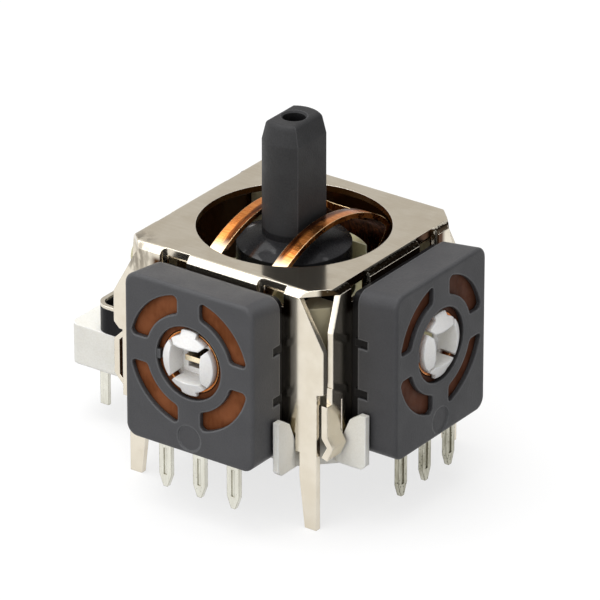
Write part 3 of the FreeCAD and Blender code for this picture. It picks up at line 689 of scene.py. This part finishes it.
    def shade_behind_covers(self, graph: Graph, place: Socket) -> Socket:
        """Painted shade on the strip of wall between the plate's bend and each potentiometer cover.

        Args:
            graph: the material's graph.
            place: the place in millimetres.

        Returns:
            The strips' mask.
        """
        across, along, height = graph.axes(place)
        right, back, _ = graph.facing()
        outside, inside = self.wall_facing
        walls = (
            (across, graph.fall(back, (-inside, -outside)), self.plate_level),
            (along, graph.rise(right, self.wall_facing), self.plate_level + self.strip_extra))
        strips = []
        for sideways, faces, top in walls:
            beside = EFFECTS.use(graph, "band", value=sideways, low=-self.cover_half_width,
                                 high=self.cover_half_width, softness=self.cover_end)
            level = EFFECTS.use(graph, "band", value=height, low=self.strip_low, high=top,
                                softness=self.strip_softness)
            strips.append(graph.product(beside["Mask"], faces, level["Mask"]))
        return graph.larger(*strips)

    def corner_stain_and_reflection(self, graph: Graph, place: Socket) -> Socket:
        """Brown creases at the plate's left corner, with a painted dark reflection of its rounded edge.

        Args:
            graph: the material's graph.
            place: the place in millimetres.

        Returns:
            The mask of the creases and the painted reflection.
        """
        apart = graph.vector("DISTANCE", place, self.corner).outputs["Value"]
        near = graph.fall(apart, self.corner_span)
        creases = graph.noise(graph.stretched(place, self.crease_stretch), self.crease_scale)
        return graph.product(near, graph.spread(creases, 0.0, self.crease_share, *self.crease_span))


@dataclass(frozen=True)
class CopperStrip(Finish):
    """Copper strip: tarnished faces with a painted highlight along their outer half and at their front ends.
    """

    face: Colour
    streak: Colour
    # Colour of the sheared faces, also used as the painted highlight on the outer half of the top faces.
    sheared_and_highlight: Colour
    sheared_line: Colour
    # Painted highlight along the edges.
    rim: Colour
    # Painted highlight at the front ends.
    end_highlight: Colour
    shadow: Colour
    _: KW_ONLY
    edge_radius: float = 0.05
    recess_span: Range = (0.05, 0.4)
    streak_stretch: Triple = (8.0, 0.7, 2.0)
    streak_patches: float = 0.8
    shear_stretch: Triple = (1.0, 16.0, 9.0)
    shear_patches: float = 2.0
    end_highlight_span: Range = (-3.9, -5.2)
    bright_span: Range = (2.12, 2.34)
    wobble: float = 0.5
    top_facing: Range = (0.1, 0.3)
    side_facing: Range = (0.5, 0.8)
    gloss_span: Range = (0.2, 0.34)

    def wire(self, graph: Graph, shader: Node) -> None:
        """Wires the faces, the sheared edges, the painted highlights and the painted shade of recesses into
        the shader.

        Args:
            graph: the material's graph.
            shader: its shader.
        """
        place = graph.place_mm()
        across, along, _ = graph.axes(place)
        right, _, up = graph.facing()
        streaks = EFFECTS.use(graph, "rolled_lines", place=place, stretch=self.streak_stretch,
                              patch_size=self.streak_patches)
        shear = EFFECTS.use(graph, "rolled_lines", place=place, stretch=self.shear_stretch,
                            patch_size=self.shear_patches)
        edge = self.soft_edge(graph)
        # Painted highlight: the outer half of each top face, where its rounded edge catches the light, takes
        # the sheared colour.
        wobble = graph.product(graph.math("SUBTRACT", streaks["Height"], 0.5), self.wobble)
        outer = graph.math("ADD", graph.math("ABSOLUTE", across), wobble)
        outer_highlight = graph.product(graph.rise(outer, self.bright_span), graph.rise(up, self.top_facing))
        cut_and_outer_highlight = graph.larger(graph.rise(graph.math("ABSOLUTE", right), self.side_facing), outer_highlight)
        # Painted highlight: the front ends turn pale.
        end_highlight = graph.rise(along, self.end_highlight_span)
        face = graph.mix(end_highlight, graph.mix(streaks["Lines"], self.face, self.streak), self.end_highlight)
        sheared_and_highlight = graph.mix(end_highlight, graph.mix(shear["Lines"], self.sheared_and_highlight, self.sheared_line), self.end_highlight)
        # Painted highlight along the edges.
        colour = graph.mix(edge["Edge"], graph.mix(cut_and_outer_highlight, face, sheared_and_highlight), self.rim)
        graph.fill(shader, {
            "Base Color": graph.mix(self.painted_shade(graph), colour, self.shadow), "Metallic": 1.0,
            "Roughness": graph.spread(streaks["Patches"], *self.gloss_span, 0.0, 1.0),
            "Normal": self.raised(graph, shear["Height"], edge["Normal"])})


@dataclass(frozen=True)
class PaperPhenolic(Finish):
    """Brown resin board with paper fibres and darker stains."""

    colour: Colour
    stain: Colour
    fibre: Colour
    shadow: Colour
    _: KW_ONLY
    recess_reach: float = 1.3
    recess_span: Range = (0.1, 0.9)
    stain_scale: float = 0.7
    stain_span: Range = (0.35, 0.65)
    fibre_stretch: Triple = (5.0, 5.0, 1.6)
    fibre_patches: float = 3.0
    fibre_share: float = 0.18
    gloss_span: Range = (0.4, 0.55)
    specular: float = 0.06

    def wire(self, graph: Graph, shader: Node) -> None:
        """Wires the stains, the fibres and the shade of the windows' sides into the shader.

        Args:
            graph: the material's graph.
            shader: its shader.
        """
        place = graph.place_mm()
        stains = graph.rise(graph.noise(place, self.stain_scale), self.stain_span)
        fibres = EFFECTS.use(graph, "rolled_lines", place=place, stretch=self.fibre_stretch,
                             patch_size=self.fibre_patches)
        base = graph.mix(stains, self.colour, self.stain)
        colour = graph.mix(graph.product(fibres["Lines"], self.fibre_share), base, self.fibre)
        graph.fill(shader, {
            "Base Color": graph.mix(self.painted_shade(graph), colour, self.shadow),
            "Roughness": graph.spread(fibres["Patches"], *self.gloss_span, 0.0, 1.0),
            "Specular IOR Level": self.specular, "Normal": self.raised(graph, fibres["Height"])})


@dataclass(frozen=True)
class StickPlastic(Finish):
    """The stick's dark plastic: satin on the shaft, and polished on the domed collar below it."""

    colour: Colour
    drift: Colour
    # Painted highlight along the edges.
    edge_lighting: Colour
    collar_colour: Colour
    # Painted shade in recesses.
    painted_shade_colour: Colour
    _: KW_ONLY
    relief: float = 0.005
    recess_reach: float = 3.5
    recess_span: Range = (0.2, 0.8)
    grains: float = 11.0
    roughness: float = 0.46
    roughness_spread: float = 0.14
    collar_low: float = 9.4
    collar_high: float = 12.1
    collar_softness: float = 0.15
    polish: float = 0.2
    swirl_stretch: Triple = (0.5, 0.5, 1.6)
    swirl_span: Range = (0.56, 0.64)
    swirl_coat: float = 0.8
    coat_roughness: float = 0.12
    specular: float = 0.1

    def wire(self, graph: Graph, shader: Node) -> None:
        """Wires the shaft's skin, the collar's polish, the painted highlight of the edges and the painted
        shade of recesses into the shader.

        Args:
            graph: the material's graph.
            shader: its shader.
        """
        place = graph.place_mm()
        collar = EFFECTS.use(graph, "band", value=graph.axes(place)[2], low=self.collar_low,
                             high=self.collar_high, softness=self.collar_softness)["Mask"]
        skin = EFFECTS.use(graph, "moulded_skin", place=place, colour=self.colour,
                           drift_colour=self.drift, grains=self.grains, roughness=self.roughness,
                           roughness_spread=self.roughness_spread)
        edge = self.soft_edge(graph)
        # Painted highlight along the edges.
        colour = graph.mix(edge["Edge"], skin["Colour"], self.edge_lighting)
        colour = graph.mix(collar, colour, self.collar_colour)
        swirl = graph.noise(graph.stretched(place, self.swirl_stretch), 1.0)
        # Painted shade in recesses.
        graph.fill(shader, {
            "Base Color": graph.mix(self.painted_shade(graph), colour, self.painted_shade_colour),
            "Roughness": graph.math("SUBTRACT", skin["Roughness"], graph.product(collar, self.polish)),
            "Coat Weight": graph.product(collar, graph.spread(swirl, 0.0, self.swirl_coat, *self.swirl_span)),
            "Coat Roughness": self.coat_roughness, "Specular IOR Level": self.specular,
            "Normal": self.raised(graph, skin["Height"], edge["Normal"])})


# In these finishes, the edge colours are painted light along the edges, and the inside, recess and shadow
# colours are painted shade.
NICKEL = NickelSheet(
    "nickel_sheet", Slot.NICKEL_STEEL, shade(228, 220, 204), shade(206, 194, 172), shade(238, 231, 217),
    shade(72, 44, 18), shade(58, 46, 30))
STRAP = RolledMetal(
    "strap_metal", Slot.NICKEL_STEEL, shade(226, 219, 205), shade(206, 196, 178), shade(245, 240, 228),
    shade(40, 34, 24), (0.6, 6.0, 6.0), roughness=0.2, dull_roughness=0.3)
# The fifth and sixth colours are painted highlights along the edges and at the front ends; the third also
# serves as a painted highlight on the outer halves.
COPPER = CopperStrip(
    "copper_strip", Slot.COPPER_ALLOY, shade(128, 70, 32), shade(62, 28, 10), shade(240, 158, 84),
    shade(196, 110, 48), shade(255, 220, 170), shade(244, 230, 198), shade(70, 32, 10))
# Its edge colour is a painted dark outline.
TIN = RolledMetal(
    "bright_terminal_metal", Slot.TINNED_TERMINAL, shade(230, 229, 218), shade(208, 206, 194),
    shade(164, 160, 142), shade(90, 86, 74), (8.0, 8.0, 1.5), roughness=0.26, specks=0.28)
# A darker copy of the terminal metal, with more specks, for potentiometer B on the side away from the key
# lamp: painted shade, with a painted dark outline on the edges.
SHADED_TIN = RolledMetal(
    "shaded_terminal_metal", Slot.TINNED_TERMINAL, shade(204, 202, 188), shade(150, 147, 130),
    shade(82, 78, 62), shade(60, 56, 44), (8.0, 8.0, 1.5), roughness=0.26, specks=0.5)
WIPER = RolledMetal(
    "wiper_bronze", Slot.WIPER_COPPER, shade(206, 128, 70), shade(160, 84, 38), shade(240, 190, 130),
    shade(60, 26, 10), (9.0, 9.0, 3.0), roughness=0.25)
STEEL = RolledMetal(
    "spring_wire_steel", Slot.SPRING_STEEL, shade(200, 200, 198), shade(170, 170, 168),
    shade(230, 230, 228), shade(60, 60, 58), (6.0, 6.0, 6.0))
GREY = MouldedPlastic(
    "grey_cover_plastic", Slot.GREY_PLASTIC, shade(78, 78, 80), shade(72, 72, 74), shade(108, 109, 111),
    shade(22, 22, 23), recess_reach=0.9, edge_radius=0.2)
# A darker copy of the grey for potentiometer B, on the side away from the key lamp: painted shade.
SHADED_GREY = MouldedPlastic(
    "shaded_grey_cover_plastic", Slot.GREY_PLASTIC, shade(69, 69, 71), shade(63, 63, 65),
    shade(100, 101, 103), shade(18, 18, 19), recess_reach=0.9, edge_radius=0.2)
BLACK = MouldedPlastic(
    "black_plastic_skin", Slot.BLACK_PLASTIC, shade(18, 18, 20), shade(14, 14, 15), shade(36, 36, 38),
    shade(8, 7, 7), roughness=0.4, specular=0.12)
WHITE = MouldedPlastic(
    "white_switch_plastic", Slot.WHITE_PLASTIC, shade(242, 241, 235), shade(232, 230, 222),
    shade(250, 249, 246), shade(128, 118, 82), roughness=0.45, glow_depth=0.4, specular=0.4,
    recess_span=(0.12, 0.35))
# Its recess colour, and the darkening of all above 2.6 mm, are painted shade inside the frame.
TRAY = MouldedPlastic(
    "tray_plastic", Slot.WHITE_PLASTIC, shade(242, 241, 235), shade(232, 230, 222),
    shade(250, 249, 246), shade(128, 114, 62), roughness=0.45, glow_depth=0.4, specular=0.4,
    recess_span=(0.12, 0.22), shade_from_height=2.6)
ROTOR = MouldedPlastic(
    "rotor_plastic", Slot.ROTOR_WHITE, shade(246, 245, 243), shade(236, 235, 233),
    shade(252, 252, 252), shade(140, 126, 112), glow_depth=0.4, specular=0.4, recess_span=(0.12, 0.28))
CREAM = MouldedPlastic(
    "cream_rocker_plastic", Slot.CREAM_PLASTIC, shade(206, 200, 162), shade(186, 178, 136),
    shade(226, 222, 194), shade(110, 98, 44), glow_depth=0.4, specular=0.4, recess_span=(0.12, 0.45))
BOARD = PaperPhenolic(
    "paper_phenolic_board", Slot.PHENOLIC, shade(134, 80, 50), shade(108, 60, 32), shade(154, 98, 62),
    shade(56, 26, 10))
# A darker copy of the board for potentiometer B, on the side away from the key lamp: painted shade.
SHADED_BOARD = PaperPhenolic(
    "shaded_phenolic_board", Slot.PHENOLIC, shade(98, 60, 44), shade(76, 42, 26), shade(118, 78, 58),
    shade(30, 14, 6))
STICK = StickPlastic(
    "stick_plastic", Slot.STICK_GREY, shade(60, 60, 61), shade(50, 50, 51), shade(90, 90, 92),
    shade(36, 36, 38), shade(20, 20, 21))


class PartSection:
    """A sub-assembly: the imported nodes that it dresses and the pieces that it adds."""

    FINISHES: dict[str, Finish] = {}

    def finishes(self) -> dict[str, Finish]:
        """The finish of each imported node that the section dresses."""
        return self.FINISHES

    def build(self) -> dict[str, Finish]:
        """Dresses the section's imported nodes.

        Returns:
            The finish of each piece that was dressed or added, by the piece's name.
        """
        dressed = self.finishes()
        for name, finish in dressed.items():
            finish.dress(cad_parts[name])
        return dressed

    @staticmethod
    def add_piece(name: str, rings: list[list[Vector]], finish: Finish, body: str) -> Object:
        """Makes a smooth piece from rings of points, closed at its first and last ring.

        Args:
            name: the piece's name.
            rings: rings with the same number of points each, in millimetres.
            finish: what it is dressed in.
            body: the body that it rides on.

        Returns:
            The new object.
        """
        size = len(rings[0])
        points = [point * MM for ring in rings for point in ring]
        faces = [tuple(reversed(range(size))), tuple(range(len(points) - size, len(points)))]
        for row in range(len(rings) - 1):
            for side in range(size):
                beside = (side + 1) % size
                low, high = row * size, (row + 1) * size
                faces.append((low + side, low + beside, high + beside, high + side))
        mesh = bpy.data.meshes.new(name)
        mesh.from_pydata(points, [], faces)
        for face in mesh.polygons:
            face.use_smooth = face.loop_total == 4
        piece = bpy.data.objects.new(name, mesh)
        bpy.context.scene.collection.objects.link(piece)
        finish.dress(piece)
        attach(piece, body)
        return piece

    @staticmethod
    def spoke(step: int, steps: int, turns: int = 1) -> Vector:
        """A level unit vector, turned round by one of so many steps."""
        angle = 2 * math.pi * turns * step / steps
        return Vector((math.cos(angle), math.sin(angle), 0.0))


class FrameAndBase(PartSection):
    """The folded steel frame and the white tray that it clips round."""

    FINISHES = {"frame_shell": NICKEL, "base": TRAY}


class StickAndRockers(PartSection):
    """The stick, the arch, the cross rocker and the centring foot."""

    FINISHES = {"stick": STICK, "arch_rocker": COPPER, "cross_rocker": CREAM, "centring_foot": WHITE}


@dataclass
class Potentiometer(PartSection):
    """One rotary potentiometer: cover, back, track plate, rotor, wiper and terminals."""

    letter: str
    cover: MouldedPlastic
    board: PaperPhenolic
    pins: RolledMetal
    pin_count: int = 3

    def finishes(self) -> dict[str, Finish]:
        """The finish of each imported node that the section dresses.

        Returns:
            The finishes by the nodes' names.
        """
        kinds = {"cover": self.cover, "back": BLACK, "track_plate": self.board, "rotor": ROTOR,
                 "wiper": WIPER}
        for number in range(1, self.pin_count + 1):
            kinds[f"terminal_{number}"] = self.pins
        return {f"pot_{self.letter}_{kind}": finish for kind, finish in kinds.items()}


class PushSwitch(PartSection):
    """The push switch on the third side."""

    FINISHES = {"switch_housing": WHITE, "switch_cover": BLACK, "switch_strap": STRAP,
                "switch_plunger": WHITE, "switch_terminal_1": TIN, "switch_terminal_2": TIN}


@dataclass
class ReturnCoil(PartSection):
    """The round-wire compression spring between the stick's barrel and the centring foot."""

    wire: float = 0.26
    radius: float = 1.59
    low: float = 4.29
    high: float = 8.41
    turns: int = 7
    closed_share: float = 0.09
    closed_pitch: float = 1.15
    seat: float = 8.55
    keep: float = 0.81
    steps: int = 36
    sides: int = 12

    def build(self) -> dict[str, Finish]:
        """Adds the coil in place of the solid one.

        Returns:
            The coil's finish, by its name.
        """
        coil = self.add_piece("return_coil", self.rings(), STEEL, "lever")
        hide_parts("return_spring")
        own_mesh(coil)
        return {"return_coil": STEEL}

    def height(self, share: float) -> float:
        """How high the wire's middle is at a share of its length, with both end turns closed up.

        Args:
            share: the share of the wire's length, from 0 at the low end to 1.

        Returns:
            The height in millimetres.
        """
        closed_rise = self.turns * self.wire * self.closed_pitch
        open_rise = self.high - self.low - 2 * self.closed_share * closed_rise
        opened = min(max((share - self.closed_share) / (1 - 2 * self.closed_share), 0.0), 1.0)
        closed = min(share, self.closed_share) + max(share - 1 + self.closed_share, 0.0)
        return self.low + closed * closed_rise + open_rise * opened

    def rings(self) -> list[list[Vector]]:
        """The wire's cross-sections along the coil.

        Returns:
            A ring of points for each step, in millimetres.
        """
        count = self.turns * self.steps
        rings = []
        for step in range(count + 1):
            outward = self.spoke(step, count, self.turns)
            centre = outward * self.radius + Vector((0.0, 0.0, self.height(step / count)))
            ring = []
            for side in range(self.sides):
                turn = 2 * math.pi * side / self.sides
                rim = outward * math.cos(turn) + Vector((0.0, 0.0, math.sin(turn)))
                ring.append(centre + rim * (self.wire / 2))
            rings.append(ring)
        return rings


@dataclass
class ClickDome(PartSection):
    """The sprung disc under the switch's plunger, with a rolled rim."""

    x: float = -10.6
    reach: float = 1.7
    rim: float = 1.05
    rise: float = 0.75
    sheet: float = 0.1
    flare: float = 0.12
    roll: float = 0.985
    keep: float = 0.65
    bands: int = 18
    around: int = 72

    def build(self) -> dict[str, Finish]:
        """Adds the disc in place of the solid cap.

        Returns:
            The disc's finish, by its name.
        """
        dome = self.add_piece("click_dome", self.rings(), STEEL, "housing")
        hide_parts("snap_dome")
        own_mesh(dome)
        return {"click_dome": STEEL}

    def rings(self) -> list[list[Vector]]:
        """Rings from the crown's underside out to the rim and back over the top to the crown.

        Returns:
            The rings of points, in millimetres.
        """
        under = [(band / self.bands, 0.0) for band in range(1, self.bands)]
        over = [(share, self.sheet) for share, _ in reversed(under)]
        low_side, high_side = self.sheet * 0.3, self.sheet * 0.7
        rolled = [(self.roll, 0.0), (1.0, low_side), (1.0, high_side), (self.roll, self.sheet)]
        rings = []
        for share, lift in under + rolled + over:
            crown = (self.rise - self.sheet) * (1 - share ** 2) * (1 - self.flare * share ** 2)
            middle = Vector((self.x, 0.0, self.rim + crown + lift))
            spokes = (self.spoke(side, self.around) for side in range(self.around))
            rings.append([middle + spoke * self.reach * share for spoke in spokes])
        return rings


def aim(place: Vector, target: Vector) -> Matrix:
    """The matrix of something at a place whose -Z axis points at a target."""
    turn = (target - place).to_track_quat("-Z", "Y").to_matrix().to_4x4()
    return Matrix.Translation(place) @ turn


def square_mesh(name: str, half: float, height: float) -> bpy.types.Mesh:
    """Makes a level square.

    Args:
        name: the mesh's name.
        half: half its side in millimetres.
        height: its height in millimetres.

    Returns:
        The mesh.
    """
    mesh = bpy.data.meshes.new(name)
    corners = [(-half, -half), (half, -half), (half, half), (-half, half)]
    mesh.from_pydata([(x * MM, y * MM, height * MM) for x, y in corners], [], [(0, 1, 2, 3)])
    return mesh


@dataclass(frozen=True)
class StudioLight:
    """What lights the object: a name, a place, a side and a level, where 1 is white."""

    name: str
    place: Triple
    size: float
    level: float
    target: Triple = (0.0, 0.0, 8.0)

    def stand(self, data: bpy.types.ID) -> Object:
        """Stands the lamp or the card in its place, turned to the middle of the part.

        Args:
            data: the lamp's or the card's data.

        Returns:
            The new object.
        """
        made = bpy.data.objects.new(self.name, data)
        bpy.context.scene.collection.objects.link(made)
        made.matrix_world = aim(Vector(self.place) * MM, Vector(self.target) * MM)
        return made


@dataclass(frozen=True)
class SoftLamp(StudioLight):
    """A square lamp. Its level is what a white surface that faces it comes out at."""

    def build(self) -> None:
        """Makes the lamp."""
        data = bpy.data.lights.new(self.name, "AREA")
        data.size = self.size * MM
        data.energy = self.level * math.pi ** 2 * (Vector(self.place) * MM).length_squared
        self.stand(data)


@dataclass(frozen=True)
class ReflectedCard(StudioLight):
    """A warm grey card that only shows in reflections, at its level."""

    tint: Triple = (1.0, 0.97, 0.93)

    def build(self) -> None:
        """Makes the card."""
        card = self.stand(square_mesh(self.name, self.size / 2, 0.0))
        card.visible_camera = False
        card.visible_diffuse = False
        card.visible_shadow = False
        material = bpy.data.materials.new(self.name)
        material.use_nodes = True
        tree = material.node_tree
        tree.nodes.remove(tree.nodes["Principled BSDF"])
        glow = tree.nodes.new("ShaderNodeEmission")
        glow.inputs["Color"].default_value = (*(self.level * part for part in self.tint), 1.0)
        tree.links.new(glow.outputs[0], tree.nodes["Material Output"].inputs["Surface"])
        card.data.materials.append(material)


LIGHTS = (
    SoftLamp("key_lamp", (-110.0, -260.0, 250.0), 760.0, 1.22),
    SoftLamp("top_lamp", (-40.0, 20.0, 340.0), 260.0, 0.56),
    SoftLamp("side_lamp", (300.0, -60.0, 110.0), 200.0, 0.1),
    SoftLamp("front_lamp", (120.0, -330.0, 60.0), 260.0, 0.2),
    ReflectedCard("back_card", (-190.0, 266.0, 150.0), 330.0, 0.64),
    ReflectedCard("dark_card", (231.0, 252.0, 49.0), 230.0, 0.04))


@dataclass
class Studio:
    """The floor, the world, the lights and the camera."""

    floor_height: float = -3.61
    floor_half: float = 4000.0
    floor_shade: float = 0.3
    floor_glow: float = 0.7
    ambient: float = 0.36
    camera_place: Triple = (214.227, -299.135, 185.898)
    camera_azimuth: float = 35.553
    camera_elevation: float = 25.932
    lens: float = 401.7
    sensor: float = 36.0
    nearest: float = 10.0

    def build(self) -> None:
        """Builds all of it."""
        self.build_world()
        self.build_floor()
        for light in LIGHTS:
            light.build()
        self.build_camera()

    @staticmethod
    def seen_rays(graph: Graph) -> Socket:
        """Picks out the rays from the camera and those that gloss or glass sends on.

        Args:
            graph: the graph of the world or of a material.

        Returns:
            1 for such a ray, else 0.
        """
        rays = graph.node("ShaderNodeLightPath").outputs
        direct = graph.math("ADD", rays["Is Camera Ray"], rays["Is Glossy Ray"])
        return graph.math("ADD", direct, rays["Is Transmission Ray"], clamp=True)

    def build_world(self) -> None:
        """A plain soft world, white to the camera and in reflections."""
        world = bpy.data.worlds.new("studio_world")
        world.use_nodes = True
        graph = Graph(world.node_tree)
        strength = graph.spread(self.seen_rays(graph), self.ambient, 1.0, 0.0, 1.0)
        background = world.node_tree.nodes["Background"]
        graph.fill(background, {"Color": (1.0, 1.0, 1.0, 1.0), "Strength": strength})
        bpy.context.scene.world = world

    def build_floor(self) -> None:
        """A wide white floor that keeps the object's shadow."""
        mesh = square_mesh("floor", self.floor_half, self.floor_height)
        floor = bpy.data.objects.new("floor", mesh)
        bpy.context.scene.collection.objects.link(floor)
        material = bpy.data.materials.new("white_floor")
        material.use_nodes = True
        graph = Graph(material.node_tree)
        shader = material.node_tree.nodes["Principled BSDF"]
        graph.fill(shader, {
            "Base Color": (self.floor_shade, self.floor_shade, self.floor_shade, 1.0),
            "Roughness": 1.0, "Specular IOR Level": 0.0, "Emission Color": (1.0, 1.0, 1.0, 1.0),
            "Emission Strength": graph.product(self.seen_rays(graph), self.floor_glow)})
        mesh.materials.append(material)

    def build_camera(self) -> None:
        """The camera at the photograph's viewing angle."""
        data = bpy.data.cameras.new("photo_camera")
        data.lens = self.lens
        data.sensor_width = self.sensor
        data.clip_start = self.nearest * MM
        data.dof.use_dof = False
        camera = bpy.data.objects.new("photo_camera", data)
        bpy.context.scene.collection.objects.link(camera)
        azimuth, elevation = math.radians(self.camera_azimuth), math.radians(self.camera_elevation)
        level = math.cos(elevation)
        back = Vector((math.sin(azimuth) * level, -math.cos(azimuth) * level, math.sin(elevation)))
        stand = Vector(self.camera_place) * MM
        camera.matrix_world = aim(stand, stand - back)
        bpy.context.scene.camera = camera


def main() -> None:
    """Builds each section in order and reports its pieces, then builds the studio."""
    logging.basicConfig(level=logging.INFO, format="%(message)s")
    bpy.context.scene.view_settings.view_transform = "Standard"
    sections: list[PartSection] = [
        FrameAndBase(), StickAndRockers(), Potentiometer("a", GREY, BOARD, TIN),
        Potentiometer("b", SHADED_GREY, SHADED_BOARD, SHADED_TIN), PushSwitch(), ReturnCoil(), ClickDome()]
    for section in sections:
        for name, finish in section.build().items():
            LOG.info("%s: %s in %s, %s", type(section).__name__, name, finish.name, finish.slot.value)
    Studio().build()


if __name__ == "__main__":
    main()
